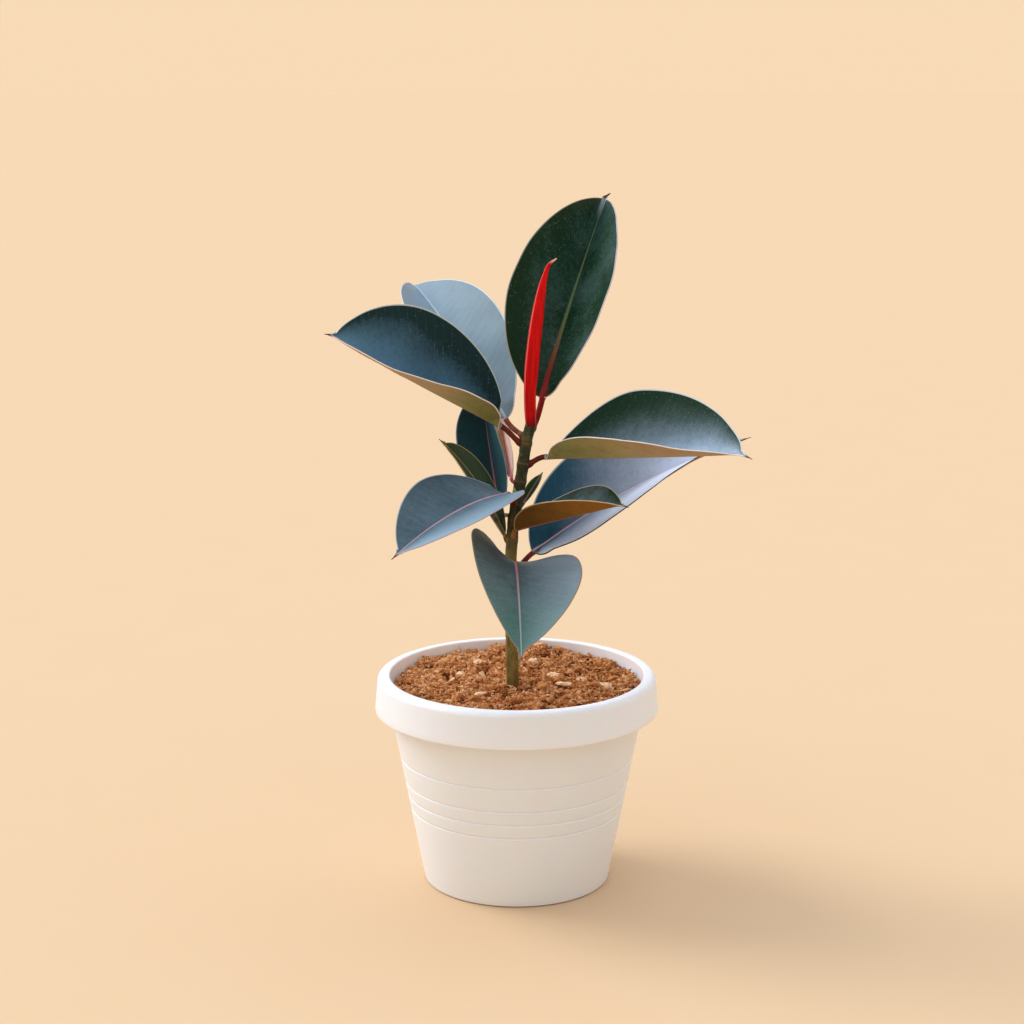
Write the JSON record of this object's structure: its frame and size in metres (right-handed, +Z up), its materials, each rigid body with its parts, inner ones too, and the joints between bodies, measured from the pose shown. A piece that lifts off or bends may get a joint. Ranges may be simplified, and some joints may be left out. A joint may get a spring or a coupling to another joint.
{
  "type": "potted rubber plant",
  "caption": "Young rubber plant: broad dark leathery leaves and a red growing tip on one upright stem, rooted in coarse brown soil in a white plastic pot with a turned-down rim.",
  "frame": {"origin": "centre of the pot's underside, on the surface it stands on", "axes": "+Z up along the pot's axis; -Y is the front, where one leaf droops over the soil; +X is to the right seen from the front"},
  "size_m": [0.2337, 0.2358, 0.3826],
  "materials": {
    "pot_plastic": "white moulded plastic with a soft satin sheen and faint moulding lines",
    "soil": "loose dry orange-brown coir crumbs and fibres",
    "stem_bark": "young dark olive-brown bark with ringed leaf scars",
    "leaf": "smooth waxy leaf, dark green to blue-grey above with fine side veins and a pink midrib, olive-tan below",
    "sheath": "smooth waxy red sheath around the next leaf",
    "bud": "small smooth pale green bud",
    "chips": "worn cream and tan husk chips, matte"
  },
  "bodies": {
    "root": {"pot": "pot_plastic", "soil": "soil", "stem": "stem_bark", "leaf_top": "leaf", "leaf_upper_back": "leaf", "leaf_upper_left": "leaf", "leaf_upper_right": "leaf", "leaf_lower_right": "leaf", "leaf_small_right": "leaf", "leaf_lower_left": "leaf", "leaf_front": "leaf", "leaf_back_left": "leaf", "leaf_small_left": "leaf", "leaf_tiny_back": "leaf", "leaf_young_back": "leaf", "bud_sheath": "sheath", "axil_bud": "bud", "soil_chip_1": "chips", "soil_chip_2": "chips", "soil_chip_3": "chips", "soil_chip_4": "chips", "soil_chip_5": "chips", "soil_chip_6": "chips", "soil_chip_7": "chips", "soil_chip_8": "chips"}
  },
  "joints": []
}
